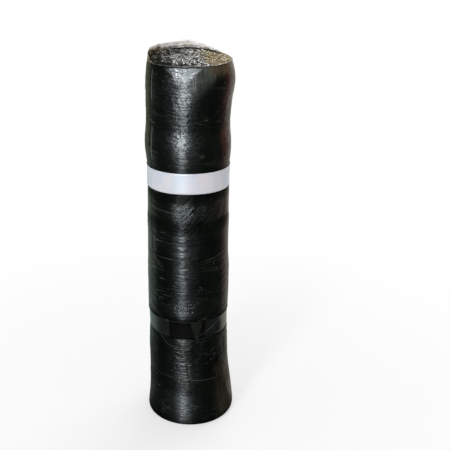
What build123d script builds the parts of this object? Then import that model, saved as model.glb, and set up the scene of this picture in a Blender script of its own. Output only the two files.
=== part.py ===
from build123d import *

import os

# Roll of roofing felt, stored standing on its end. Millimetres, +Z up.
# The origin is the centre of the face that the roll stands on.
# The front of the roll looks along -Y. An azimuth is measured from the front, towards +X.

# The felt sheet as it is rolled up
sheet_width = 1000.0
felt_thickness = 4.2
bore_diameter = 46.0
turn_gap_width = 0.9
turn_gap_depth = 1.6
turn_gap_margin = 1.0

# Diameters of the rolled felt, from the foot to the crown
foot_diameter = 233.0
body_diameter = 209.0
waist_diameter = 206.0
head_diameter = 219.6
crown_diameter = 213.6

# Heights of those places: the spread foot from the floor, the head down from the upper end,
# and the bevelled edges
foot_height = 185.0
throat_drop = 140.0
head_drop = 60.0
waist_taper = 10.0
foot_bevel = 9.0
crown_bevel = 3.5

# Free edge of the outer turn, with the line where the film dips beside it
lap_azimuth = -60.0
lap_notch_depth = 2.0
lap_notch_angle = 2.5
lap_dip_depth = 0.7
lap_dip_angle = 1.4

# Stretch film wound round the felt and folded over both ends
film_thickness = 1.2
film_clearance = 0.3
base_fold_width = 55.0

# Gathers of the film on the upper end, drawn in to a knot in the middle
gather_count = 19
gather_width = 27.0
gather_height = 4.6
gather_crest_inset = 24.0
gather_end_height = 0.5
gather_tip_width = 5.0
gather_tip_height = 2.4
gather_margin = 4.0
gather_twist = 14.0
knot_diameter = 30.0
knot_top_diameter = 14.0
knot_height = 4.5

# Collar of film left standing on the upper end, cut off on a slant
collar_height = 22.0
collar_azimuth = -147.0
collar_slope = 17.0
collar_low_cut = 2.0

# Printed band, and the adhesive tape that closes the free edge
label_width = 54.0
label_drop = 270.0
label_thickness = 0.6
label_lap_azimuth = 165.0
label_lap_angle = 20.0
tape_width = 50.0
tape_height = 266.0
tape_thickness = 0.6
tape_lap_azimuth = -3.0
tape_lap_angle = 51.0
band_clearance = 0.15

# Places that follow from those sizes
bore_radius = bore_diameter / 2
felt_base = film_thickness + film_clearance
felt_top = felt_base + sheet_width
film_skin = film_clearance + film_thickness
film_top = felt_top + film_skin
label_top = felt_top - label_drop
label_base = label_top - label_width
tape_top = tape_height + tape_width
crown_radius = crown_diameter / 2 - crown_bevel
base_opening = foot_diameter / 2 - base_fold_width


def side_outline(grow, low, high):
    """Outline of the roll's side from height low to height high, moved out by grow."""
    places = [
        (foot_diameter - 2 * foot_bevel, low),
        (foot_diameter, low + foot_bevel),
        (body_diameter, foot_height),
        (body_diameter, tape_height - waist_taper),
        (waist_diameter, tape_height),
        (waist_diameter, tape_top),
        (body_diameter, tape_top + waist_taper),
        (body_diameter, felt_top - throat_drop),
        (head_diameter, felt_top - head_drop),
        (crown_diameter, high - crown_bevel),
        (crown_diameter - 2 * crown_bevel, high),
    ]
    return [(diameter / 2 + grow, height) for diameter, height in places]


def turned(inner_radius, grow, low, high):
    """Solid of the side outline turned round the axis, with a bore."""
    side = side_outline(grow, low, high)
    section = make_face(Polyline((inner_radius, low), *side, (inner_radius, high), close=True))
    return revolve(Plane.XZ * section, Axis.Z)


def skin_sector(inner_grow, outer_grow, low, high, azimuth, angle):
    """Strip of the roll's skin between two depths, with its middle at an azimuth."""
    inner = side_outline(inner_grow, low, high)
    outer = side_outline(outer_grow, low, high)
    section = make_face(Polyline(*inner, *reversed(outer), close=True))
    strip = revolve(Plane.XZ * section, Axis.Z, angle)
    return Rot(0, 0, azimuth - 90 - angle / 2) * strip


def turn_gap():
    """Flat ribbon along the joint between the turns, as a spiral of half circles on two centres."""
    half_pitch = felt_thickness / 2
    first = bore_radius + felt_thickness
    last = base_opening - turn_gap_margin
    count = int((last - first) / half_pitch)
    inner = []
    outer = []
    for index in range(count):
        radius = first + index * half_pitch
        centre = (half_pitch / 2, 0) if index % 2 else (-half_pitch / 2, 0)
        start = 180 if index % 2 else 0
        inner.append(CenterArc(centre, radius - turn_gap_width / 2, start, 180))
        outer.append(CenterArc(centre, radius + turn_gap_width / 2, start, 180))
    first_cap = Line(outer[0] @ 0, inner[0] @ 0)
    last_cap = Line(inner[-1] @ 1, outer[-1] @ 1)
    ribbon = Face(Wire([*inner, last_cap, *reversed(outer), first_cap]))
    end_angle = 180 if count % 2 else 0
    return Rot(0, 0, lap_azimuth - 90 - end_angle) * ribbon


def make_felt_roll():
    """The rolled felt, with the joint between its turns showing inside the fold of the film."""
    roll = turned(bore_radius, 0, felt_base, felt_top)
    roll -= Pos(0, 0, felt_base) * extrude(turn_gap(), turn_gap_depth, dir=(0, 0, 1))
    free_edge = skin_sector(
        -lap_notch_depth, film_thickness, felt_base, felt_top, lap_azimuth, lap_notch_angle
    )
    return roll - free_edge


def make_gather():
    """One lopsided fold of film on the upper end, highest near the rim and narrow at the knot."""
    start = knot_diameter / 2 - gather_tip_width / 2
    crest = crown_radius - gather_crest_inset
    end = crown_radius - gather_margin
    corners = []
    for distance, width, height in (
        (start, gather_tip_width, gather_tip_height),
        (crest, gather_width, gather_height),
        (end, gather_width, gather_end_height),
    ):
        corners += [
            (distance, -width / 2, -film_thickness / 2),
            (distance, width / 2, -film_thickness / 2),
            (distance, width / 4, height),
        ]
    fold = ConvexPolyhedron(corners)
    return Pos(start, 0, 0) * Rot(0, 0, gather_twist) * Pos(-start, 0, 0) * fold


def make_crown():
    """The gathers in a ring, with the knot that they are drawn in to."""
    sunk = film_thickness / 2
    height = knot_height + sunk
    crown = Pos(0, 0, height / 2 - sunk) * Cone(knot_diameter / 2, knot_top_diameter / 2, height)
    for place in PolarLocations(0, gather_count):
        crown += place * make_gather()
    return Pos(0, 0, film_top) * crown


def make_collar():
    """Ring of film that stands on the rim of the upper end, cut off by a slanting plane."""
    foot = felt_top + film_clearance + film_thickness / 2
    height = film_top + collar_height - foot
    wall = Cylinder(crown_radius, height) - Cylinder(crown_radius - film_thickness, height)
    wall = Pos(0, 0, foot + height / 2) * wall
    slant = Plane.XY.rotated((collar_slope, 0, 0))
    slant = Plane(Rot(0, 0, collar_azimuth + 180) * Location(slant))
    slant.origin = (0, 0, film_top - collar_low_cut)
    return split(wall, bisect_by=slant, keep=Keep.BOTTOM)


def make_film_wrap():
    """The film: a skin over the side, a ring folded under the foot and a gathered crown."""
    body = turned(base_opening, film_skin, 0, film_top)
    body += Pos(0, 0, film_top - film_thickness / 2) * Cylinder(crown_radius, film_thickness)
    body -= turned(0, film_clearance, film_thickness, felt_top + film_clearance)
    middle = film_clearance + film_thickness / 2
    body -= skin_sector(
        film_skin - lap_dip_depth, film_skin + lap_dip_depth, 0, film_top, lap_azimuth, lap_dip_angle
    )
    body += skin_sector(
        film_clearance - lap_dip_depth,
        middle - lap_dip_depth / 2,
        film_thickness / 2,
        felt_top + middle,
        lap_azimuth,
        lap_dip_angle,
    )
    return body + make_crown() + make_collar()


def make_band(seat_diameter, base, width, thickness, lap_azimuth_of_band, lap_angle):
    """Band round the film, with its ends lapped one over the other."""
    inner = seat_diameter / 2 + film_skin + band_clearance
    section = Plane.XZ * Pos(inner, base) * Rectangle(thickness, width, align=Align.MIN)
    lap = Plane.XZ * Pos(inner, base) * Rectangle(2 * thickness, width, align=Align.MIN)
    turn = lap_azimuth_of_band - 90 - lap_angle / 2
    return revolve(section, Axis.Z) + Rot(0, 0, turn) * revolve(lap, Axis.Z, lap_angle)


parts = {
    "felt_roll": make_felt_roll(),
    "film_wrap": make_film_wrap(),
    "label_band": make_band(
        body_diameter, label_base, label_width, label_thickness, label_lap_azimuth, label_lap_angle
    ),
    "binding_tape": make_band(
        waist_diameter, tape_height, tape_width, tape_thickness, tape_lap_azimuth, tape_lap_angle
    ),
}

os.makedirs("parts", exist_ok=True)
for name, part in parts.items():
    export_step(part, f"parts/{name}.step")
    print(name, "solids", len(part.solids()), "volume", round(part.volume))
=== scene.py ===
# %% [markdown]
# # A roll of roofing felt in stretch film
# The roll stands on its end. Its felt is 1 m wide, black and heavy, and it is wound in many
# layers of clear stretch film that turn the black into a wrinkled, glossy skin. A plain pale
# band and a strip of packing tape go round it, and the film is crumpled over the upper end.
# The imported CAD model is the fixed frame: everything here is in metres and sits where it says.

import math

import bpy
import numpy as np
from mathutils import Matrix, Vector, noise


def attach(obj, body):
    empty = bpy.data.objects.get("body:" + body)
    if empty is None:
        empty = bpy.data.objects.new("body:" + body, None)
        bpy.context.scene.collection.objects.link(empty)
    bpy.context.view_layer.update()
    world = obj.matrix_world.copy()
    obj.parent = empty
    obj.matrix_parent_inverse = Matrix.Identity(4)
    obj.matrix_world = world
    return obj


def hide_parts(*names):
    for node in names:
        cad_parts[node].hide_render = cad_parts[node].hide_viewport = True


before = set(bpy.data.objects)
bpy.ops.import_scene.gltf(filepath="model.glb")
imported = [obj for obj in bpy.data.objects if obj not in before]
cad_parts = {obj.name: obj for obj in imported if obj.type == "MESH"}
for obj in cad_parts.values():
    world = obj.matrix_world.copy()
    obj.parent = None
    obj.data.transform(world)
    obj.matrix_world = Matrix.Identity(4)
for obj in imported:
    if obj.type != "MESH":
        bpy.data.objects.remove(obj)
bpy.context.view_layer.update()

# %% [markdown]
# ## The camera
# The photograph was taken from about 2.4 m away and from above the roll, looking down on it.
# A long lens from there keeps the sides nearly parallel. The roll stands left of the middle,
# so the lens is shifted a little; turning the camera would tip the roll's sides.

# %% The camera
IMAGE_SIZE = 450
LENS_PIXELS = 987.25
SENSOR_WIDTH = 36
CAMERA_DISTANCE = 2.4
CAMERA_HEIGHT = 1.567
CAMERA_PITCH = 22.976
ROLL_AXIS_PIXEL = 189.5

bpy.ops.object.camera_add(location=(0, -CAMERA_DISTANCE, CAMERA_HEIGHT))
camera = bpy.context.object
camera.rotation_euler = (math.radians(90 - CAMERA_PITCH), 0, 0)
camera.data.sensor_width = SENSOR_WIDTH
camera.data.lens = SENSOR_WIDTH * LENS_PIXELS / IMAGE_SIZE
camera.data.shift_x = (IMAGE_SIZE / 2 - ROLL_AXIS_PIXEL) / IMAGE_SIZE
bpy.context.scene.camera = camera
print("lens", round(camera.data.lens, 1), "shift", round(camera.data.shift_x, 3))

# %% [markdown]
# ## Helpers for materials
# Every material is a small net of nodes. One function adds a node, sets its values and links
# its inputs. Colours are written as sRGB hex, as a picture editor shows them, and Blender's
# shaders want linear light, so one function turns them.

# %% Helpers for materials
def linear(hex_code):
    """Linear RGBA of an sRGB hex colour."""
    parts = [int(hex_code[i : i + 2], 16) / 255 for i in (1, 3, 5)]
    return [c / 12.92 if c <= 0.04045 else ((c + 0.055) / 1.055) ** 2.4 for c in parts] + [1]


def add(tree, kind, *values, out=0, **named):
    """Adds a node with its settings and links, and gives one of its outputs.

    Values fill the inputs in order; a name is a setting of the node, or else one of its inputs.
    A value is a number, a vector, a hex colour or the output of another node.
    """
    node = tree.nodes.new("ShaderNode" + kind)
    settings = [name for name in named if name in node.bl_rna.properties]
    for name in settings:
        setattr(node, name, named[name])
    pairs = list(zip([socket for socket in node.inputs if socket.enabled], values))
    pairs += [(node.inputs[n.replace("_", " ")], named[n]) for n in named if n not in settings]
    for socket, value in pairs:
        if isinstance(value, bpy.types.NodeSocket):
            tree.links.new(value, socket)
        else:
            socket.default_value = linear(value) if isinstance(value, str) else value
    if isinstance(out, str):
        return node.outputs[out]
    outputs = [socket for socket in node.outputs if socket.enabled]
    return outputs[out] if outputs else node


def new_material(name):
    """A bare material, its tree of nodes and the place on the piece that it is asked for."""
    material = bpy.data.materials.new(name)
    material.use_nodes = True
    tree = material.node_tree
    tree.nodes.clear()
    return material, tree, add(tree, "TexCoord", out="Object")


def blobs(tree, place, width, height, detail=2.0, roughness=0.5):
    """Noise from 0 to 1, its blobs so many millimetres wide round the roll and high along it."""
    size = (1000 / width, 1000 / width, 1000 / height)
    return add(tree, "TexNoise", add(tree, "Mapping", place, Scale=size), 1.0, detail, roughness)


def mix(tree, share, low, high):
    """The low colour where share is 0, the high one where it is 1."""
    return add(tree, "Mix", share, low, high, data_type="RGBA")


def calc(tree, operation, *values):
    """The result of a Math node's operation on numbers or outputs."""
    return add(tree, "Math", *values, operation=operation)


def mask_of(tree, name):
    """The numbers painted on the piece under this name."""
    return add(tree, "Attribute", attribute_name=name, out="Fac")


def principled(tree, colour, roughness, ior=1.5, **named):
    """Ends the tree in a principled shader."""
    named.update(Base_Color=colour, Roughness=roughness, IOR=ior)
    add(tree, "OutputMaterial", add(tree, "BsdfPrincipled", **named))


print("black felt in linear light", [round(c, 4) for c in linear("#060908")])

# %% [markdown]
# ## The shape of the side
# Stretch film pulls tight over a soft roll, so the side is not a plain cylinder: the foot has
# spread under the weight, the tape draws in a waist, and the head bulges below the rim. Such
# an outline could be one drawn curve, but each of these stations can be put right alone. A
# smooth curve through them gives the radius at any height.

# %% Stations of the side
# Height, radius of the film there and how far its middle leans to the right, in millimetres
STATIONS = [
    (0, 112.0, 2.0), (3, 115.5, 2.1), (8, 117.8, 2.6), (15, 118.2, 3.8), (38, 116.3, 4.0),
    (65, 114.2, 3.4), (91, 112.1, 2.4), (117, 110.6, 0.6), (143, 108.8, -0.8),
    (169, 107.8, -2.1), (194, 106.9, -2.9), (220, 106.3, -3.2), (245, 105.6, -3.2),
    (262, 104.9, -2.7), (270, 103.9, -2.9), (291, 104.4, -3.2), (306, 105.2, -3.4),
    (320, 107.6, -3.6), (344, 108.2, -3.5), (368, 108.6, -2.9), (404, 108.7, -2.7),
    (440, 108.2, -3.0), (487, 106.6, -3.7), (534, 106.1, -3.7), (566, 106.9, -3.7),
    (580, 107.0, -3.6), (602, 106.0, -3.5), (647, 106.1, -3.4), (670, 105.5, -3.3),
    (691, 105.0, -3.2), (720, 105.2, -3.1), (735, 106.6, -3.0), (757, 109.0, -3.4),
    (778, 110.2, -4.0), (799, 109.5, -4.1), (821, 107.4, -4.0), (842, 106.3, -3.6),
    (863, 106.6, -2.6), (883, 107.8, -2.0), (904, 109.0, -0.6), (925, 111.2, 1.0),
    (945, 112.0, 2.4), (965, 110.8, 2.4), (980, 109.0, 1.9), (992, 107.7, 1.1),
    (999, 106.0, 0.8), (1002.5, 103.6, 0.8),
]
# Azimuth in degrees, and how far the rim of the upper end is sunk there in metres
RIM = [
    (-180, 0.0), (-150, 0.002), (-115, 0.006), (-95, 0.009), (-80, 0.009), (-60, 0.006),
    (-30, 0.003), (0, 0.002), (30, 0.003), (60, 0.005), (90, 0.008), (110, 0.009),
    (130, 0.007), (150, 0.003), (180, 0.0),
]


def rim_drop(azimuth):
    """How far the rim is sunk at an azimuth, in metres."""
    return np.interp(azimuth, *zip(*RIM))


def through(column, height):
    """Value of a column at a height, on a smooth curve that never overshoots the stations."""
    heights = np.array([s[0] for s in STATIONS]) / 1000
    values = np.array([s[column] for s in STATIONS]) / 1000
    steps = np.diff(heights)
    slopes = np.diff(values) / steps
    same = slopes[1:] * slopes[:-1] > 0
    mean = 2 * slopes[1:] * slopes[:-1] / np.where(same, slopes[1:] + slopes[:-1], 1)
    tangents = np.concatenate([slopes[:1], np.where(same, mean, 0), slopes[-1:]])
    height = np.clip(height, heights[0], heights[-1])
    i = np.clip(np.searchsorted(heights, height) - 1, 0, len(steps) - 1)
    t = (height - heights[i]) / steps[i]
    return (
        (1 + 2 * t) * (1 - t) ** 2 * values[i]
        + t * (1 - t) ** 2 * steps[i] * tangents[i]
        + t**2 * (3 - 2 * t) * values[i + 1]
        + t**2 * (t - 1) * steps[i] * tangents[i + 1]
    )


def side_radius(height):
    """Radius of the film at a height, in metres."""
    return through(1, height)


def side_lean(height):
    """How far the middle of the roll leans to +X at a height, in metres."""
    return through(2, height)


waist, foot = side_radius(np.array([0.29, 0.015]))
print("radius at the waist", round(waist, 4), "and at the foot", round(foot, 4))

# %% [markdown]
# ## Helpers for meshes
# A tube is modelled as by hand: a circle is added, its edge loop is extruded again and again,
# and each new loop is sized and shifted. Turning azimuth and radius into a place, and back, is
# needed again and again, so each is a function. Azimuth 0 is the front and +90 the right.

# %% Helpers for meshes
MERGE_DISTANCE = 0.00001


def tell_mesh(piece):
    """Prints how large a finished mesh is."""
    piece.data.calc_loop_triangles()
    print(piece.name, "triangles", len(piece.data.loop_triangles))


def points_of(piece):
    """The piece's vertices as an array of rows."""
    flat = np.empty(len(piece.data.vertices) * 3)
    piece.data.vertices.foreach_get("co", flat)
    return flat.reshape(-1, 3)


def put_points(piece, points):
    """Writes moved vertices back."""
    piece.data.vertices.foreach_set("co", points.astype(np.float32).ravel())
    piece.data.update()


def azimuth_of(points, middle=0.0):
    """Azimuth in degrees of each point round an axis that leans by middle."""
    return np.degrees(np.arctan2(points[:, 0] - middle, -points[:, 1]))


def place_round(points, azimuth, radius, middle=0.0):
    """Puts points at an azimuth and a radius round an axis that leans by middle."""
    turn = np.radians(azimuth)
    points[:, 0] = middle + radius * np.sin(turn)
    points[:, 1] = -radius * np.cos(turn)


def take(piece):
    """Leaves edit mode and selects only this piece, so that operators work on it."""
    bpy.ops.object.mode_set(mode="OBJECT")
    bpy.ops.object.select_all(action="DESELECT")
    piece.select_set(True)
    bpy.context.view_layer.objects.active = piece


def extruded_tube(name, count, rings):
    """A circle extruded through rings of (radius, lean, height).

    It stays in edit mode with its last ring selected, ready to be closed.
    """
    radius, lean, height = rings[0]
    bpy.ops.mesh.primitive_circle_add(vertices=count, radius=radius, location=(0, 0, 0))
    tube = bpy.context.object
    tube.name = tube.data.name = name
    bpy.ops.object.mode_set(mode="EDIT")
    bpy.ops.mesh.select_all(action="SELECT")
    bpy.ops.transform.translate(value=(lean, 0, height))
    for old, (radius, lean, height) in zip(rings, rings[1:]):
        bpy.ops.mesh.extrude_region_move(
            TRANSFORM_OT_translate={"value": (lean - old[1], 0, height - old[2])}
        )
        size = radius / old[0]
        bpy.ops.transform.resize(value=(size, size, 1), center_override=(lean, 0, height))
    return tube


def finish_mesh(piece, smooth=True):
    """Merges doubles, turns the faces outwards and smooths the shading."""
    take(piece)
    bpy.ops.object.mode_set(mode="EDIT")
    bpy.ops.mesh.select_all(action="SELECT")
    bpy.ops.mesh.remove_doubles(threshold=MERGE_DISTANCE)
    bpy.ops.mesh.normals_make_consistent(inside=False)
    bpy.ops.object.mode_set(mode="OBJECT")
    if smooth:
        bpy.ops.object.shade_smooth()


def use_modifier(piece, kind, **settings):
    """Adds a modifier with its settings and applies it."""
    modifier = piece.modifiers.new(kind, kind)
    for name, value in settings.items():
        setattr(modifier, name, value)
    take(piece)
    bpy.ops.object.modifier_apply(modifier=modifier.name)


print("azimuth of +X", azimuth_of(np.array([[1.0, 0.0]])))

# %% [markdown]
# ## Helpers for soft edges and noise
# Wrinkles and painted masks fade in and out, so a soft step and a soft window come up again
# and again. Plain noise swells and sinks; folded at its middle it makes creases, as film does.

# %% Helpers for soft edges and noise
def smooth_step(value, start, end):
    """0 before start and 1 after end, for arrays; start may be the larger."""
    t = np.clip((value - start) / (end - start), 0, 1)
    return t * t * (3 - 2 * t)


def window(value, start, end, edge):
    """1 between start and end, falling to 0 over the edge outside them."""
    return smooth_step(value, start - edge, start) * (1 - smooth_step(value, end, end + edge))


def noise_at(points, seed, folded=False):
    """Noise from -1 to 1 at each row of points, another one for each seed."""
    shift = Vector((seed * 7.13, seed * 3.71, seed * 5.37))
    values = np.array([noise.noise(Vector(p) + shift) for p in points])
    return 1 - 2 * np.abs(values) if folded else values


def paint(piece, name, values):
    """Stores a number at each vertex, like a painted mask that a finish can read."""
    mask = piece.data.attributes.new(name, "FLOAT", "POINT")
    mask.data.foreach_set("value", np.asarray(values, dtype=np.float32))


print("noise of seed 1 at the origin", noise_at(np.zeros((1, 3)), 1).round(3))

# %% [markdown]
# ## The wound film
# On the real roll this is some twenty turns of polyethylene stretch film. Round the side it
# wrinkles in short dashes that run round the roll, because it is pulled lengthways. A turned
# profile would be quicker, but it can't lean. So the tube is extruded ring by ring, with each
# ring sized and shifted to its station, and then subdivided.

# %% The wound film: the tube
SIDE_COUNT = 48
EVEN_RINGS = 117
# Heights of the close rings where the film bends over at the foot and at the rim
FOOT_RINGS = [0.0, 0.003, 0.008, 0.015]
RIM_RINGS = [0.996, 0.999, 1.001, 1.0025]

heights = np.concatenate([FOOT_RINGS, np.linspace(0.023, 0.992, EVEN_RINGS), RIM_RINGS])
side_rings = list(zip(side_radius(heights), side_lean(heights), heights))
film_side = extruded_tube("film_side", SIDE_COUNT, side_rings)
use_modifier(film_side, "SUBSURF", levels=2, render_levels=2)
tell_mesh(film_side)

# %% [markdown]
# ## Pressing the wrinkles in
# The wrinkles differ from place to place: fine dashes at the head, slanting strain lines below
# the band, stripes above the tape and coarse ridges under it. Bump would leave the outline
# smooth, so the points are pressed in and out, as a sculptor would. Each kind of wrinkle is a
# noise that is stretched along the roll's own directions and weighted by where it belongs.

# %% The wound film: wrinkles
# The layers' edges: height in front and rise over a quarter turn in metres, and the azimuths
FILM_EDGES = [
    (0.494, 0.0, -60, 10), (0.485, 0.02, 15, 85), (0.397, -0.15, -78, -38),
    (0.283, -0.083, -78, -36), (0.190, -0.145, -72, -18), (0.250, 0.056, 12, 85),
    (0.620, -0.01, -80, 30), (0.140, -0.012, -60, 60),
]
GROOVE_AZIMUTH = -60


def wrinkle_depth(azimuth, height, radius):
    """How far the film moves out at each point, in metres."""
    turn = np.radians(azimuth)

    def field(across, along, seed, twist=0.0, folded=True):
        """Noise with waves so many metres wide round the roll and high along it."""
        angle = turn + twist * height
        ring = np.stack([radius * np.sin(angle), -radius * np.cos(angle), height], 1)
        return noise_at(ring / (across, across, along), seed, folded)

    striped = window(height, 0.50, 0.58, 0.02) + 0.8 * window(height, 0.33, 0.45, 0.02)
    slanting = window(height, 0.57, 0.665, 0.015) * window(azimuth, -10, 60, 20)
    slanting += 0.5 * window(height, 0.20, 0.25, 0.03) * window(azimuth, 10, 80, 15)
    rough = window(height, 0.79, 0.92, 0.02) + window(height, 0.12, 0.18, 0.02)
    ridged = window(height, 0.185, 0.255, 0.012)
    under_bands = window(height, 0.262, 0.32, 0.004) + window(height, 0.672, 0.734, 0.004)
    calm = (1 - 0.85 * under_bands) * (1 - smooth_step(height, 0.985, 1.0))
    move = 0.00045 * field(0.03, 0.0085, 3) * (0.7 + 0.8 * field(0.05, 0.04, 4, folded=False))
    move += 0.0004 * field(0.07, 0.0085, 5) * striped
    move += 0.0006 * field(0.012, 0.045, 6, twist=-8.0) * slanting
    move += 0.00042 * field(0.0105, 0.006, 7, folded=False) * rough
    move += 0.0009 * field(0.03, 0.0085, 8, twist=1.2) * ridged
    lumps = 0.0011 * field(0.09, 0.16, 1, folded=False)
    lumps += 0.0005 * field(0.035, 0.06, 2, folded=False)
    for level, rise, first, last in FILM_EDGES:
        above = height - level - rise * azimuth / 90
        step = smooth_step(above, 0, 0.0022) * np.exp(-np.clip(above, 0, 1) / 0.02)
        move += 0.0004 * step * window(azimuth, first, last, 8)
    groove = -0.0007 * np.exp(-(((azimuth - GROOVE_AZIMUTH) / 0.9) ** 2))
    groove *= window(height, 0.5, 0.985, 0.02)
    foot = smooth_step(height, 0.0, 0.03)
    return (lumps * (1 - 0.8 * under_bands) + move * calm + groove) * foot


points = points_of(film_side)
height = points[:, 2].copy()
lean = side_lean(height)
azimuth = azimuth_of(points, lean)
radius = np.hypot(points[:, 0] - lean, points[:, 1])
grown = radius + wrinkle_depth(azimuth, height, radius)
place_round(points, azimuth, grown, lean)
points[:, 2] -= rim_drop(azimuth) * smooth_step(height, 0.955, 1.0)
put_points(film_side, points)
moved = (grown - radius) * 1000
print("wrinkles from", moved.min().round(2), "to", moved.max().round(2), "mm")

# %% [markdown]
# ## Painting how the film shines
# Tight film shines and torn film is dull, so the bright streak down the front comes and goes
# with the height, and widens into a funnel where the rim bends over. Such a mask could be
# painted by hand. Worked out from height and azimuth it can be put right with one number.

# %% The wound film: its gloss
# Height in metres, and how strongly the film there shines
GLOSS = [
    (0.0, 0.2), (0.02, 0.45), (0.05, 0.87), (0.085, 0.82), (0.105, 0.3), (0.125, 0.28),
    (0.15, 0.42), (0.185, 0.37), (0.22, 0.3), (0.256, 0.38), (0.262, 0.15), (0.32, 0.1),
    (0.334, 0.45), (0.345, 0.55), (0.37, 0.5), (0.382, 0.36), (0.425, 0.35), (0.46, 0.4),
    (0.49, 0.36), (0.495, 0.18), (0.505, 0.47), (0.56, 0.43), (0.574, 0.14), (0.595, 0.1),
    (0.61, 0.5), (0.64, 0.55), (0.655, 0.08), (0.672, 0.04), (0.73, 0.25), (0.76, 0.44),
    (0.79, 0.5), (0.805, 0.95), (0.825, 0.95), (0.84, 0.37), (0.88, 0.4), (0.905, 0.85),
    (0.92, 0.95), (0.945, 0.8), (0.957, 0.55), (0.966, 0.7), (0.98, 0.75), (0.996, 0.75),
]
# The funnel below the rim: height, and its left and right azimuth
FUNNEL = [(0.945, -15, -8), (0.965, -18, -4), (0.98, -21, 3), (0.99, -28, 9), (1.0, -36, 17)]
levels, lefts, rights = zip(*FUNNEL)
left, right = np.interp(height, levels, lefts), np.interp(height, levels, rights)
funnel = window(azimuth, left, right, 5) * smooth_step(height, 0.95, 0.975)
funnel *= 1 - 0.84 * window(azimuth, -11, -5, 8)
gloss = np.interp(height, *zip(*GLOSS)) * (1 - 0.4 * smooth_step(height, 0.965, 0.985))
gloss += 3.2 * funnel * (1 + 0.35 * smooth_step(azimuth, 0, 6))
# Dull on the bend itself, beside the streak and right of the middle of the foot
gloss *= 1 - 0.95 * smooth_step(height, 0.9965, 0.999) * window(azimuth, -60, 16, 12)
beside = 0.4 * window(azimuth, -46, -25, 8) + 0.45 * window(azimuth, 8, 30, 8)
gloss *= 1 - beside * (1 - smooth_step(height, 0.92, 0.95))
foot_glow = 0.5 * window(azimuth, -30, -15, 6) - 0.5 * smooth_step(azimuth, -12, -2)
gloss *= 1 + foot_glow * window(height, 0.02, 0.1, 0.02) * window(azimuth, -40, 25, 10)
# Duller at the right of the head, brighter down the left below the middle
gloss *= 1 - 0.4 * window(azimuth, 36, 55, 6) * window(height, 0.84, 0.965, 0.02)
gloss *= 1 + 0.5 * window(azimuth, -90, -54, 6) * window(height, 0.36, 0.56, 0.05)
paint(film_side, "gloss", gloss)
print("gloss up to", gloss.max().round(2))

# %% [markdown]
# ## Painting where the film changes
# Right of the streak the film hangs loose in milky drips, and further right dust gives it a
# brown cast. Strain lines run down from the bands, some zones are grainy, and edges of inner
# turns show as upright lines. These masks are made like the gloss.

# %% The wound film: haze, brown, strain, grain and upright lines
drips = noise_at(np.stack([azimuth / 4.0, 0 * azimuth, height / 0.12], 1), 11)
haze_edge = 0.922 + 0.0018 * azimuth - 0.025 * drips
haze = window(azimuth, 4, 36, 12) * smooth_step(height, haze_edge - 0.03, haze_edge + 0.03)
haze *= 0.68 + 0.6 * smooth_step(azimuth, 12, 24)
paint(film_side, "haze", haze)
brown = window(azimuth, 34, 95, 14) * smooth_step(height, 0.962 - 0.02 * drips, 0.99)
brown += 0.24 * window(azimuth, 48, 80, 16) * window(height, 0.03, 0.15, 0.04)
paint(film_side, "brown", brown)
strain = window(height, 0.60, 0.668, 0.015) * window(azimuth, -4, 50, 20)
strain += 0.6 * window(height, 0.20, 0.262, 0.01) * window(azimuth, 12, 60, 10)
strain *= 1 + 1.2 * smooth_step(azimuth, 6, 22)
paint(film_side, "strain", strain)
grainy = window(height, 0.80, 0.99, 0.02) + window(height, 0.12, 0.18, 0.02)
grainy += 2.2 * window(height, 0.605, 0.645, 0.012) * window(azimuth, -16, 18, 10)
grainy += 1.8 * window(height, 0.338, 0.368, 0.01) * window(azimuth, -22, 4, 10)
paint(film_side, "grainy", grainy)
lines = (azimuth < -40) * window(height, 0.915, 0.98, 0.01)
lines += (azimuth < -40) * window(height, 0.76, 0.835, 0.01)
lines += 0.6 * (azimuth > -40) * window(height, 0.948, 0.968, 0.008)
paint(film_side, "upright", lines)
print("haze on", (haze > 0.1).mean().round(3), "of the film")

# %% [markdown]
# ## The fold under the foot
# The last turns of film are tucked under the foot, so the roll stands on a flat ring of film.
# A closed disc would be simpler, but the felt has to show. So the ring goes on inwards from
# the tube's lower edge, and ends in a low wall that meets the felt.

# %% The fold under the foot
FOLD_OPENING = 0.0615
FOLD_WALL = 0.0012

fold_rings = [
    side_rings[0], (0.098, 0.0035, 0.0), (0.085, 0.002, 0.0), (0.072, 0.001, 0.0),
    (FOLD_OPENING, 0.0, 0.0), (FOLD_OPENING, 0.0, FOLD_WALL),
]
film_fold = extruded_tube("film_fold", 96, fold_rings)
finish_mesh(film_fold)
points = points_of(film_fold)
inner = np.hypot(points[:, 0], points[:, 1])
ruffled = window(inner, 0.066, 0.1, 0.004) * (points[:, 2] < FOLD_WALL / 2)
points[:, 2] += 0.0006 * (1 + noise_at(points / 0.02, 21)) * ruffled
put_points(film_fold, points)
tell_mesh(film_fold)

# %% [markdown]
# ## The felt inside
# The felt shows only under the foot, where its turns end in a spiral. The CAD solid has that
# spiral already but stands upright, and the photographed roll leans a little. So a copy of it
# is cut across in slices and shifted with the film. Its bore and lower end stay in place.

# %% The felt inside
FELT_TO_FILM = 0.0024
FELT_TOP = 0.984
FELT_SLICE = 0.04
# The felt stays in place inside the first radius and leans with the film beyond the second
STAYS, LEANS = 0.07, 0.095

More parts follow.
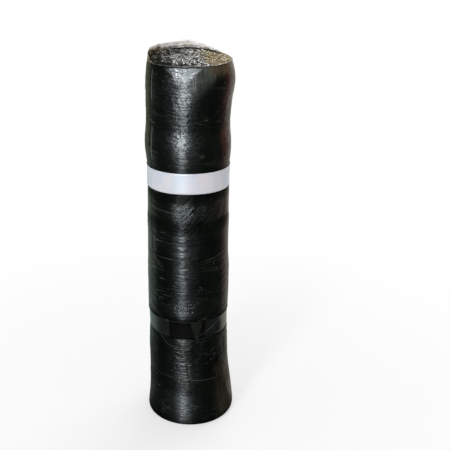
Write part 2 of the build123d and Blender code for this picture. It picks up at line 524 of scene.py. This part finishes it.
take(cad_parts["felt_roll"])
bpy.ops.object.duplicate()
felt_turns = bpy.context.object
felt_turns.name = felt_turns.data.name = "felt_turns"
finish_mesh(felt_turns, smooth=False)
bpy.ops.object.mode_set(mode="EDIT")
for level in np.arange(FELT_SLICE, 1.0, FELT_SLICE):
    bpy.ops.mesh.select_all(action="SELECT")
    bpy.ops.mesh.bisect(plane_co=(0, 0, level), plane_no=(0, 0, 1))
bpy.ops.object.mode_set(mode="OBJECT")
points = points_of(felt_turns)
inner = np.hypot(points[:, 0], points[:, 1])
room = side_radius(points[:, 2]) - FELT_TO_FILM
leaning = side_lean(points[:, 2]) * smooth_step(inner, STAYS, LEANS)
inner = np.where(inner > LEANS, np.minimum(inner, room), inner)
place_round(points, azimuth_of(points), inner, leaning)
points[:, 2] = np.minimum(points[:, 2], FELT_TOP)
put_points(felt_turns, points)
bpy.ops.object.shade_smooth_by_angle(angle=math.radians(35))
tell_mesh(felt_turns)

# %% [markdown]
# ## The crumpled crown
# Over the upper end the film is stuffed in and crumpled, like foil in a bowl. Sculpting would
# do, but a disc can be put right by numbers: it is drawn in ring by ring, closed in the
# middle, and creased with folded noise, which gives sharp ridges with flat facets between
# them. Its right side is painted tan, and both sides dull.

# %% The crumpled crown
CROWN_HEIGHT = 1.0025
CROWN_RADIUS = 0.1036
CROWN_RINGS = 56
LAST_RING = 0.0004
RIM_LEAN = 0.0008

crown_rings = []
for share in np.arange(CROWN_RINGS + 1) / CROWN_RINGS:
    radius = CROWN_RADIUS * (1 - share**1.1) + LAST_RING
    crown_rings.append((radius, RIM_LEAN * (1 - share), CROWN_HEIGHT))
film_crown = extruded_tube("film_crown", 256, crown_rings)
bpy.ops.mesh.merge(type="CENTER")
finish_mesh(film_crown)
points = points_of(film_crown)
inner = np.hypot(points[:, 0], points[:, 1])
azimuth = azimuth_of(points)
turn = np.radians(azimuth)
flat = points * (1, 1, 0)
# The noise is read at drifting places, so that its creases don't run straight
drift = np.stack([noise_at(flat / 0.03, 31), noise_at(flat / 0.03, 32), 0 * inner], 1)
drift = flat + 0.006 * drift
folds = noise_at(drift / 0.021, 33, True) * 0.0034 + noise_at(drift / 0.0085, 34, True) * 0.0015
pleats = np.stack([np.sin(turn) * 2.2, np.cos(turn) * 2.2, inner / 0.09], 1)
folds += 0.0022 * noise_at(pleats * 2.4, 35, True) * window(inner, 0.05, 0.095, 0.03)
# A bowl inside a raised edge, sunk behind and stuffed at the left
bowl = 0.0022 * window(inner, 0.088, 0.097, 0.006) - 0.003 * (1 - smooth_step(inner, 0.02, 0.085))
sink = -0.003 * window(inner, 0.088, 0.097, 0.008) * (1 - window(azimuth, -50, 115, 12))
sink -= 0.005 * smooth_step(points[:, 1], -0.035, 0.075)
stuffed = 0.0065 * window(azimuth, -140, -70, 25) * window(inner, 0.078, 0.094, 0.02)
calm = 0.25 + 0.75 * (1 - smooth_step(inner, 0.092, 0.1034))
points[:, 2] += (folds - 0.0015) * calm * (1 - smooth_step(inner, 0.1, CROWN_RADIUS))
points[:, 2] += (bowl + sink + stuffed) * (1 - smooth_step(inner, 0.096, CROWN_RADIUS))
points[:, 2] -= rim_drop(azimuth) * smooth_step(inner, 0.05, CROWN_RADIUS)
put_points(film_crown, points)
# Positive at the right and negative at the left, with a wandering border
side = points[:, 0] + 0.026 * noise_at(flat / 0.04, 36) + 0.016 * noise_at(flat / 0.012, 38)
paint(film_crown, "tan", smooth_step(side, 0.022, 0.05))
dull = np.maximum(1 - smooth_step(side, -0.05, -0.012), 0.95 * smooth_step(side, 0.02, 0.05))
paint(film_crown, "dull", dull)
tell_mesh(film_crown)

# %% [markdown]
# ## The rim's lip
# Where the side film turns over the edge it is rolled into a thin lip, with a dark crease
# below it. It could be a bevelled edge of the tube. A slim torus, pressed a little up and
# down, is quicker and keeps the lip a piece of its own.

# %% The rim's lip
LIP_RADIUS = 0.1048
LIP_THICKNESS = 0.001

bpy.ops.mesh.primitive_torus_add(
    location=(0, 0, 0), major_segments=256, minor_segments=10,
    major_radius=LIP_RADIUS, minor_radius=LIP_THICKNESS,
)
film_lip = bpy.context.object
film_lip.name = film_lip.data.name = "film_lip"
points = points_of(film_lip)
azimuth = azimuth_of(points)
turn = np.radians(azimuth)
swell = 1 + 0.5 * noise_at(np.stack([np.sin(turn), np.cos(turn), 0 * turn], 1) * 9, 37)
points[:, 2] = points[:, 2] * swell + CROWN_HEIGHT - LIP_THICKNESS - rim_drop(azimuth)
points[:, 0] += RIM_LEAN
put_points(film_lip, points)
finish_mesh(film_lip)
tell_mesh(film_lip)

# %% [markdown]
# ## The collar
# Behind and to the left a cuff of film still stands up from the rim, milky where it is free
# of the black felt, and a lower layer is tucked inwards in front of it. Simulated cloth would
# fall like that too. A strip is surer: it is extruded up from the rim, stretched to the
# height that it has all round, rippled, and given its thickness with Solidify.

# %% The collar
# Azimuth in degrees, and how far the collar stands above the end in metres
COLLAR = [
    (-180, 0.0170), (-165, 0.0158), (-146, 0.0135), (-124, 0.0145), (-100, 0.0135), (-84, 0.0070),
    (-72, 0.0), (-62, -0.004), (-54, -0.008), (112, -0.009), (126, -0.0075), (143, -0.0005),
    (156, 0.0055), (168, 0.0116), (180, 0.0170),
]
# Azimuth in degrees, and how far down from its edge the collar is milky and painted white with
# scattered light, in metres
MILKY_GLOW_DEPTH = [
    (-180, 0.0145), (-150, 0.0110), (-124, 0.0080), (-95, 0.004), (112, 0.003), (143, 0.005),
    (160, 0.0100), (180, 0.0145),
]
# Azimuths between which no collar stands
COLLAR_GAP = (-54, 112)
COLLAR_FOOT = CROWN_HEIGHT - 0.014
LAYER_ROWS = 10
LAYER_THICKNESS = 0.0006


def standing_layer(name, radius, share, milky_glow, seed, lean_in):
    """A rippled strip of film standing inside the rim; share scales its height."""
    rings = [(radius, RIM_LEAN, COLLAR_FOOT + k / LAYER_ROWS) for k in range(LAYER_ROWS + 1)]
    layer = extruded_tube(name, 360, rings)
    take(layer)
    points = points_of(layer)
    azimuth = azimuth_of(points)
    level = np.clip(points[:, 2] - COLLAR_FOOT, 0, 1)
    turn = np.radians(azimuth)
    ring = np.stack([np.sin(turn), np.cos(turn), 0 * turn], 1)
    rim = rim_drop(azimuth)
    top = (np.interp(azimuth, *zip(*COLLAR)) + rim) * share - rim
    top += 0.0015 * noise_at(ring * 5, seed) + 0.0008 * noise_at(ring * 14, seed + 1)
    top -= 0.010 * (1 - share) * window(azimuth, -104, 100, 14)
    upright = np.column_stack([ring[:, :2], level])
    ripple = 0.0016 * noise_at(upright * (7, 7, 1.4), seed + 2)
    ripple += 0.0009 * noise_at(upright * (17, 17, 3), seed + 3, True)
    out = radius - lean_in * level**1.5 * np.clip(top / 0.02, 0, 1)
    out += ripple * np.clip(level * 3, 0, 1)
    place_round(points, azimuth, out, RIM_LEAN)
    tall = top + CROWN_HEIGHT - COLLAR_FOOT
    points[:, 2] = COLLAR_FOOT + level * tall
    put_points(layer, points)
    # Below its edge the strip is painted white: milky film, and painted light that scatters
    # through it
    below_edge = (1 - level) * tall
    depth = np.interp(azimuth, *zip(*MILKY_GLOW_DEPTH)) * share**1.2
    depth *= 1 + 0.5 * noise_at(ring * 9, seed + 4)
    white = 1 - smooth_step(below_edge, depth * 0.7, depth * 1.2)
    white *= np.clip(milky_glow * (1 + 0.8 * noise_at(ring * 6, seed + 5)), 0, 1)
    paint(layer, "white", white * (1 - window(azimuth, -88, 100, 10)))
    bpy.ops.object.mode_set(mode="EDIT")
    bpy.ops.mesh.select_all(action="DESELECT")
    bpy.ops.object.mode_set(mode="OBJECT")
    for polygon in layer.data.polygons:
        middle = azimuth_of(np.array([polygon.center[:]]))[0]
        polygon.select = COLLAR_GAP[0] < middle < COLLAR_GAP[1]
    bpy.ops.object.mode_set(mode="EDIT")
    bpy.ops.mesh.delete(type="FACE")
    finish_mesh(layer)
    use_modifier(layer, "SOLIDIFY", thickness=LAYER_THICKNESS, offset=-1)
    tell_mesh(layer)
    return layer


film_collar = standing_layer("film_collar", 0.1036, 1.0, 1.6, 41, 0.0015)
film_tuck = standing_layer("film_tuck", 0.0955, 0.2, 0.6, 51, 0.010)

# %% [markdown]
# ## The pale band
# A band of white coated paper is pulled round the film near the top. A plain cylinder would
# cut through the bulges, so it is a flat grid bent round the side: it follows the film's own
# radius, only more stiffly, stands a millimetre proud, and laps over itself behind.

# %% The pale band
BAND_ROWS = 12
BAND_THICKNESS = 0.0004
PAPER_EDGES = (0.676, 0.7305)


def side_band(name, edges, proud, first, last, count, spiral=0.0, droop=0.0):
    """A strip between two heights and two azimuths, so many metres proud of the film.

    spiral lifts its last end over the first, and droop lowers it at the left and the right.
    """
    bpy.ops.mesh.primitive_grid_add(x_subdivisions=count, y_subdivisions=BAND_ROWS, size=2)
    strip = bpy.context.object
    strip.name = strip.data.name = name
    points = points_of(strip)
    low, high = edges
    along = (points[:, 0] + 1) / 2
    height = low + (points[:, 1] + 1) / 2 * (high - low)
    azimuth = first + along * (last - first)
    middle = (low + high) / 2
    stiff = side_radius(middle + (height - middle) * 0.75)
    radius = np.maximum(stiff, side_radius(height) - 0.0002) + proud + spiral * along
    place_round(points, azimuth, radius, side_lean(height))
    points[:, 2] = height - droop * np.sin(np.radians(azimuth)) ** 2
    put_points(strip, points)
    finish_mesh(strip)
    use_modifier(strip, "SOLIDIFY", thickness=BAND_THICKNESS, offset=-1)
    return strip


def lift_off(strip, amount, waves, seed):
    """Lets a strip stand off the film here and there, in waves of so many metres."""
    points = points_of(strip)
    lift = amount * noise_at(points / waves, seed)
    turn = np.radians(azimuth_of(points))
    points[:, 0] += lift * np.sin(turn)
    points[:, 1] -= lift * np.cos(turn)
    put_points(strip, points)


paper_band = side_band("paper_band", PAPER_EDGES, 0.0011, -185, 185, 320, 0.0005, droop=0.004)
lift_off(paper_band, 0.00025, (0.05, 0.05, 0.03), 61)
points = points_of(paper_band)
points[:, 2] += 0.0005 * noise_at(points / (0.09, 0.09, 0.3), 62)
put_points(paper_band, points)
tell_mesh(paper_band)

# %% [markdown]
# ## The tape
# Brown-black packing tape closes the free edge of the film. Where it laps over itself in front
# it looks like a darker, matter rectangle. A mask would do for that, but a second strip has
# real edges. A paler wedge on it is a painted sheen, where a folded corner catches the light.

# %% The tape
TAPE_EDGES = (0.266, 0.316)
LAP_EDGES = (0.2655, 0.3165)
WEDGE_SHEEN_AZIMUTH = 12

tape_band = side_band("tape_band", TAPE_EDGES, 0.0009, -180, 180, 300)
lift_off(tape_band, 0.0002, (0.03, 0.03, 0.09), 63)
finish_mesh(tape_band)
tell_mesh(tape_band)
tape_lap = side_band("tape_lap", LAP_EDGES, 0.0014, -28.6, 24, 60, 0.0002)
lift_off(tape_lap, 0.00025, (0.02, 0.02, 0.03), 64)
points = points_of(tape_lap)
azimuth = azimuth_of(points, side_lean(0.29))
spread = smooth_step(points[:, 2], 0.262, 0.31) * 7
# A painted sheen where a folded corner of the lap catches the light
paint(tape_lap, "wedge_sheen", window(azimuth, WEDGE_SHEEN_AZIMUTH - spread, WEDGE_SHEEN_AZIMUTH + spread, 2.5))
tell_mesh(tape_lap)

# %% [markdown]
# ## Parts that finishes share
# Most surfaces here are two shades that follow a pattern. Where a layer of film or tape ends
# there is a pale line, finer than the mesh, so it is drawn where the height comes near it.

# %% Parts that finishes share
CREASE_WHITE = "#7c8478"
EDGE_HALF_WIDTH = 0.0016
EDGE_SHARE = 0.32


def mottled(tree, pattern, start, end, dark, light, ease="LINEAR"):
    """The dark colour where a pattern is below start, the light one where it is above end."""
    share = add(tree, "MapRange", pattern, start, end, interpolation_type=ease)
    return mix(tree, share, dark, light)


def thin_line(tree, value, middle, half_width):
    """1 where the value is at its middle, 0 from half_width away."""
    apart = calc(tree, "SUBTRACT", value, middle)
    apart = calc(tree, "ABSOLUTE", apart)
    return add(tree, "MapRange", apart, 0.0, half_width, 1.0, 0.0)


def turn_of(tree, place):
    """The azimuth of a place, in radians."""
    across = add(tree, "SeparateXYZ", place, out="X")
    back = calc(tree, "MULTIPLY", across.node.outputs["Y"], -1.0)
    return calc(tree, "ARCTAN2", across, back)


def with_edges(tree, place, colour, edges):
    """The colour with thin pale lines where layers end; each edge is as in FILM_EDGES."""
    turn = turn_of(tree, place)
    height = add(tree, "SeparateXYZ", place, out="Z")
    for level, rise, first, last in edges:
        slope = rise / math.radians(90)
        level_here = calc(tree, "MULTIPLY_ADD", turn, slope, level)
        line = thin_line(tree, height, level_here, EDGE_HALF_WIDTH)
        middle, reach = math.radians((first + last) / 2), math.radians((last - first) / 2)
        along = thin_line(tree, turn, middle, reach)
        line = calc(tree, "MULTIPLY", line, along)
        line = calc(tree, "MULTIPLY", line, EDGE_SHARE)
        colour = mix(tree, line, colour, CREASE_WHITE)
    return colour


print("edges of film to draw", len(FILM_EDGES))

# %% [markdown]
# ## Stretch film over black felt
# The film is linear low-density polyethylene, clear and glossy, with an index of 1.5. The felt
# shows through it as a deep black with a green cast, and where it lifts off the felt it turns
# milky. Clear shells over black would be slow, so one opaque surface has the colours of both.
# Wrinkles finer than the mesh are bump, and they scatter every highlight into short dashes.

# %% Material: stretch film over felt
FILM_BLACK = "#060908"
FILM_GREEN = "#0d130d"
FILM_MILK = "#4c504a"
FILM_BROWN = "#4d4330"
# Azimuths of the upright lines: the edge of the felt's outer turn, and two drips of film
UPRIGHT_LINES = (-57.5, 4.7, 7.2)


def slanted(tree, place, twist):
    """The place turned round the roll by twist radians for each metre of height."""
    height = add(tree, "SeparateXYZ", place, out="Z")
    angle = calc(tree, "MULTIPLY", height, twist)
    return add(tree, "VectorRotate", rotation_type="Z_AXIS", Vector=place, Angle=angle)


def film_relief(tree, place):
    """Fine wrinkles: short dashes all over, with strain lines and grain where they are painted."""
    dashes = blobs(tree, place, 22, 5.5, 1.0)
    stripes = blobs(tree, place, 110, 9, 1.0)
    strain = blobs(tree, slanted(tree, place, -9.0), 5, 60)
    grains = blobs(tree, place, 5.5, 3.2, 1.0)
    relief = calc(tree, "MULTIPLY_ADD", stripes, 0.6, dashes)
    for pattern, mask, share in ((strain, "strain", 1.4), (grains, "grainy", 0.55)):
        painted = mask_of(tree, mask)
        amount = calc(tree, "MULTIPLY", painted, share)
        relief = calc(tree, "MULTIPLY_ADD", pattern, amount, relief)
    return relief


def film_colour(tree, place):
    """Black felt behind clear film, with milky haze, whitened creases and the layers' edges."""
    clouds = blobs(tree, place, 70, 110, 4.0, 0.6)
    colour = mottled(tree, clouds, 0.4, 0.65, FILM_BLACK, FILM_GREEN)
    drips = add(tree, "MapRange", blobs(tree, place, 6, 55, 3.0), 0.33, 0.62, 0.3, 1.1)
    for mask, tint in (("haze", FILM_MILK), ("brown", FILM_BROWN)):
        painted = mask_of(tree, mask)
        amount = calc(tree, "MULTIPLY", painted, drips)
        colour = mix(tree, amount, colour, tint)
    crease = thin_line(tree, blobs(tree, slanted(tree, place, -2.5), 90, 11, 1.0), 0.5, 0.008)
    sparse = add(tree, "MapRange", blobs(tree, place, 60, 40, 1.0), 0.5, 0.62, 0.0, 0.4)
    crease = calc(tree, "MULTIPLY", crease, sparse)
    colour = mix(tree, crease, colour, CREASE_WHITE)
    for line_azimuth in UPRIGHT_LINES:
        line = thin_line(tree, turn_of(tree, place), math.radians(line_azimuth), 0.013)
        painted = mask_of(tree, "upright")
        line = calc(tree, "MULTIPLY", line, painted)
        colour = mix(tree, line, colour, CREASE_WHITE)
    return with_edges(tree, place, colour, FILM_EDGES)


# Glossy wrinkled stretch film. The wrinkles run round the roll, so they spread a reflection
# along it: that is an anisotropic gloss with its long direction upright.
film_finish, tree, place = new_material("stretch_film_over_felt")
bump = add(tree, "Bump", 1.0, 0.0013, Height=film_relief(tree, place))
upright = add(tree, "CombineXYZ", 0.0, 0.0, 1.0)
level = calc(tree, "MULTIPLY", mask_of(tree, "gloss"), 0.5)
colour = film_colour(tree, place)
shine = {"Specular_IOR_Level": level, "Anisotropic": 0.85, "Tangent": upright}
principled(tree, colour, 0.38, Normal=bump, **shine)
print(film_finish.name, len(tree.nodes), "nodes")

# %% [markdown]
# ## Crumpled film
# The loose film on the upper end is dark at the left, silvery in the middle, and tan with dust
# at the right. Its finest facets are bump: Voronoi cells have sharp edges, as creases do, and
# noise bends them.

# %% Material: crumpled film
# Crumpled polyethylene film with the felt's dust in it
crown_finish, tree, place = new_material("crumpled_film")
streaks = blobs(tree, place, 7, 9, 4.0, 0.7)
dark = mottled(tree, streaks, 0.45, 0.68, "#090908", "#39332a")
tan = mottled(tree, streaks, 0.38, 0.62, "#3a2c16", "#97814f")
colour = mix(tree, mask_of(tree, "tan"), dark, tan)
wobble = add(tree, "TexNoise", place, 70.0, 2.0, out="Color")
sway = (0.012, 0.012, 0.012)
wobble = add(tree, "VectorMath", wobble, sway, place, operation="MULTIPLY_ADD")
facets = add(tree, "TexVoronoi", wobble, 95.0, feature="DISTANCE_TO_EDGE")
fine = blobs(tree, place, 6, 6, 2.0)
relief = calc(tree, "MULTIPLY_ADD", facets, 1.1, fine)
bump = add(tree, "Bump", 0.9, 0.0022, Height=relief)
level = add(tree, "MapRange", mask_of(tree, "dull"), 0.0, 1.0, 0.8, 0.08)
principled(tree, colour, 0.2, Normal=bump, Specular_IOR_Level=level)
print(crown_finish.name, len(tree.nodes), "nodes")

# %% [markdown]
# ## Loose film at the rim
# Several loose layers scatter light, so the collar is milky white at its edge. True scattering
# would be slow for so small a cuff, so that light is painted: a mask says where the edge is
# painted white, lower down the colour fades into painted shade where it meets the roll, and the
# tucked layer is painted darker still, as it lies in shade. The rolled lip is clear and looks
# grey.

# %% Materials: the collar and the lip
def collar_material(name, shade, light):
    """Milky film where loose layers stand free of the felt: painted glow at the edge, painted
    shade where they meet the roll.
    """
    material, tree, place = new_material(name)
    streaks = blobs(tree, place, 22, 5, 3.0, 0.6)
    # The mask gives the painted glow of the edge; below it the colours run into painted shade
    white = mask_of(tree, "white")
    low = mottled(tree, streaks, 0.42, 0.6, shade, light)
    high = mottled(tree, streaks, 0.3, 0.45, "#c3b7a2", "#fbf9f5")
    colour = mix(tree, white, low, high)
    bump = add(tree, "Bump", 0.7, 0.001, Height=blobs(tree, place, 6, 4, 3.0))
    principled(tree, colour, 0.35, Normal=bump)
    return material


# Clear film rolled into a lip
lip_finish, tree, place = new_material("rolled_film_lip")
clouds = blobs(tree, place, 12, 6, 3.0)
colour = mottled(tree, clouds, 0.4, 0.65, "#1b1d1b", "#5d605a")
principled(tree, colour, 0.3)

collar_finish = collar_material("milky_loose_film", "#14110d", "#a39373")
# The tucked layer is the same film painted darker, as painted shade under the collar
shaded_tuck_finish = collar_material("shaded_tucked_film", "#050403", "#3a3123")
print(lip_finish.name, collar_finish.name, shaded_tuck_finish.name)

# %% [markdown]
# ## Coated paper and adhesive tape
# The paper is white, a little bluish here and pinkish there, and scuffed: one even colour
# would look like plastic. The tape is polypropylene, rolled smooth, so it has only a trace of
# bump. Its lap is the same tape with a matt face, so one function makes both.

# %% Materials: paper and tape
TAPE_FOLDS = [(0.2605, 0.08, 4, 66)]


def tape_material(name, low, high, roughness, level):
    """Polypropylene tape, rolled smooth, over dark film."""
    material, tree, place = new_material(name)
    colour = mottled(tree, blobs(tree, place, 30, 80, 3.0), 0.35, 0.65, low, high)
    # A paler painted sheen where the lap's folded corner catches the light
    wedge_sheen = mask_of(tree, "wedge_sheen")
    colour = mix(tree, wedge_sheen, colour, "#181c13")
    colour = with_edges(tree, place, colour, TAPE_FOLDS)
    bump = add(tree, "Bump", 0.15, 0.001, Height=blobs(tree, place, 30, 50, 1.0))
    principled(tree, colour, roughness, 1.49, Normal=bump, Specular_IOR_Level=level)
    return material


# White coated paper with a faint bluish and pinkish tint
paper_finish, tree, place = new_material("coated_paper")
clouds = blobs(tree, place, 60, 90, 3.0, 0.6)
colour = mottled(tree, clouds, 0.4, 0.62, "#c8d1dd", "#d9d5da")
scuffs = add(tree, "MapRange", blobs(tree, place, 14, 5, 4.0, 0.7), 0.6, 0.75, 0.0, 0.3)
colour = mix(tree, scuffs, colour, "#a9b0b6")
bump = add(tree, "Bump", 0.3, 0.0006, Height=blobs(tree, place, 16, 9, 3.0))
principled(tree, colour, 0.38, Normal=bump)

tape_finish = tape_material("packing_tape", "#090e0c", "#121916", 0.27, 0.95)
lap_finish = tape_material("matt_tape_lap", "#020302", "#090a06", 0.5, 0.04)
print(paper_finish.name, tape_finish.name, lap_finish.name)

# %% [markdown]
# ## Bitumen felt
# The felt is matt black and dusted with fine mineral, so that its turns don't stick together.
# One grain pattern gives both the pale specks and the bump, so the two agree.

# %% Material: bitumen felt
# Oxidised bitumen dusted with fine mineral
felt_finish, tree, place = new_material("bitumen_felt")
dust = blobs(tree, place, 1.1, 1.1, 3.0, 0.7)
colour = mottled(tree, dust, 0.45, 0.7, "#141414", "#4a4a47")
bump = add(tree, "Bump", 0.6, 0.0006, Height=dust)
principled(tree, colour, 0.75, 1.55, Normal=bump)
print(felt_finish.name, len(tree.nodes), "nodes")

# %% [markdown]
# ## Finishes and rides
# The roll is one piece of stock with no joint, so every piece rides on its only body. The film
# pieces stand for the CAD film, and the bands for the CAD bands.

# %% Finishes and rides
for piece, finish, node, slot_name in (
    (felt_turns, felt_finish, "felt_roll", "bitumen_felt"),
    (film_side, film_finish, "film_wrap", "stretch_film"),
    (film_fold, film_finish, "film_wrap", "stretch_film"),
    (film_crown, crown_finish, "film_wrap", "stretch_film"),
    (film_lip, lip_finish, "film_wrap", "stretch_film"),
    (film_collar, collar_finish, "film_wrap", "stretch_film"),
    (film_tuck, shaded_tuck_finish, "film_wrap", "stretch_film"),
    (paper_band, paper_finish, "label_band", "printed_band"),
    (tape_band, tape_finish, "binding_tape", "adhesive_tape"),
    (tape_lap, lap_finish, "binding_tape", "adhesive_tape"),
):
    piece.data.materials.clear()
    piece.data.materials.append(finish)
    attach(piece, "root")
    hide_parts(node)
    print(piece.name, "has", finish.name, "and stands for", node)

# %% [markdown]
# ## Floor and room
# The roll stands before plain white. The floor is a pale disc that keeps its shadow near the
# roll and fades to white away from it. White would wash out the glossy film, though. Modelled
# walls would do, but a colour for each direction is simpler: gloss sees a dim room in front
# and a backdrop behind, green-grey at the left, pale and rust-red at the right.

# %% Floor and room
FLOOR_RADIUS = 30

bpy.ops.mesh.primitive_circle_add(vertices=96, radius=FLOOR_RADIUS, fill_type="NGON")
floor = bpy.context.object
floor.name = floor.data.name = "floor"


def seen_directly(tree):
    """1 for camera, glossy and transmission rays."""
    camera_ray = add(tree, "LightPath", out="Is Camera Ray")
    rays = camera_ray.node.outputs
    seen = calc(tree, "MAXIMUM", camera_ray, rays["Is Glossy Ray"])
    return calc(tree, "MAXIMUM", seen, rays["Is Transmission Ray"])


def room_colour(tree, direction, far):
    """White where it is looked at; in gloss, a backdrop behind and a dim room in front.

    far is 0 for the floor near the roll and 1 for the walls, and it tints the backdrop.
    """
    level = add(tree, "VectorMath", direction, (1, 1, 0), operation="MULTIPLY")
    level = add(tree, "VectorMath", level, operation="NORMALIZE")
    across = add(tree, "SeparateXYZ", level, out="X")
    back = across.node.outputs["Y"]
    near_tint = add(tree, "MapRange", far, 0.0, 0.3)
    far_tint = add(tree, "MapRange", far, 0.4, 1.0)
    left_back = calc(tree, "MULTIPLY_ADD", far, -0.42, back)
    green = mix(tree, near_tint, "#6a7670", "#d4eadf")
    green = mix(tree, far_tint, green, "#98a488")
    left = mottled(tree, left_back, -0.02, 0.2, "#343a38", green, "SMOOTHSTEP")
    right_back = calc(tree, "MULTIPLY_ADD", far, -0.5, back)
    right_back = calc(tree, "SUBTRACT", right_back, 0.18)
    right_back = calc(tree, "MULTIPLY_ADD", near_tint, -0.07, right_back)
    right_back = calc(tree, "MULTIPLY_ADD", far_tint, 0.16, right_back)
    rust = mix(tree, far_tint, "#262423", "#c23a1a")
    right = mottled(tree, right_back, -0.36, -0.2, "#2e2c2a", rust, "SMOOTHSTEP")
    pale = mix(tree, near_tint, "#b6b4a6", "#eeeadf")
    right = mottled(tree, right_back, -0.02, 0.03, right, pale, "SMOOTHSTEP")
    gloss = mottled(tree, across, -0.25, 0.25, left, right)
    glossy_ray = add(tree, "LightPath", out="Is Glossy Ray")
    return mix(tree, glossy_ray, "#ffffff", gloss)


floor_finish, tree, spot = new_material("studio_floor")
distance = add(tree, "VectorMath", spot, operation="LENGTH")
faded = add(tree, "MapRange", distance, 0.35, 1.3, 0.52, 1.0, interpolation_type="SMOOTHSTEP")
glossy_ray = add(tree, "LightPath", out="Is Glossy Ray")
faded = calc(tree, "MAXIMUM", faded, glossy_ray)
share = calc(tree, "MULTIPLY", faded, seen_directly(tree))
paper = add(tree, "BsdfDiffuse", "#fbfbfb")
far = add(tree, "MapRange", distance, 0.3, 2.2)
glow = add(tree, "Emission", room_colour(tree, spot, far), 1.0)
add(tree, "OutputMaterial", add(tree, "MixShader", share, paper, glow))
floor.data.materials.append(floor_finish)

world = bpy.data.worlds.new("white_room")
bpy.context.scene.world = world
world.use_nodes = True
room_tree = world.node_tree
room_tree.nodes.clear()
strength = calc(room_tree, "MULTIPLY_ADD", seen_directly(room_tree), 0.4, 0.6)
direction = add(room_tree, "TexCoord", out="Generated")
room = add(room_tree, "Background", room_colour(room_tree, direction, 1.0), strength)
add(room_tree, "OutputWorld", room)
print("floor and room made")

# %% [markdown]
# ## Lamps
# The bright streak is a window's reflection, and a wide box makes the funnel below the rim.
# No lamp gives both the streak and the soft light on the paper, so some only glint.

# %% Lamps
def soft_lamp(name, azimuth, distance, height, aim, size, power, colour, glint_only=False):
    """A soft box at an azimuth round the roll, aimed at a height on its axis.

    One that only glints is an ellipse, so its reflection fades out at both sides.
    """
    turn = math.radians(azimuth)
    place = Vector((distance * math.sin(turn), -distance * math.cos(turn), height))
    bpy.ops.object.light_add(type="AREA", location=place)
    lamp = bpy.context.object
    lamp.name = name
    lamp.rotation_euler = (Vector((0, 0, aim)) - place).to_track_quat("-Z", "Y").to_euler()
    lamp.data.shape = "ELLIPSE" if glint_only else "RECTANGLE"
    lamp.data.size, lamp.data.size_y = size
    lamp.data.energy = power
    lamp.data.color = linear(colour)[:3]
    lamp.visible_camera = False
    lamp.visible_diffuse = not glint_only


soft_lamp("key_box", -26, 2.6, 1.9, 0.5, (0.5, 1.2), 30, "#ffffff")
soft_lamp("window_glint", -16.5, 2.6, 0.66, 0.5, (0.55, 1.1), 129, "#e4f0f2", glint_only=True)
soft_lamp("side_glow", 12, 2.4, 0.9, 0.5, (1.4, 1.5), 5, "#e8f2ee", glint_only=True)
soft_lamp("rim_glint", -16, 2.4, 2.1, 1.0, (3.8, 0.5), 132, "#e8edfa", glint_only=True)
soft_lamp("crown_glint", 172, 2.2, 2.2, 1.0, (0.3, 0.3), 8, "#f4f6ff", glint_only=True)
soft_lamp("top_box", 150, 1.2, 2.6, 1.0, (1.4, 1.4), 22, "#ffffff")

bpy.context.scene.view_settings.view_transform = "Standard"
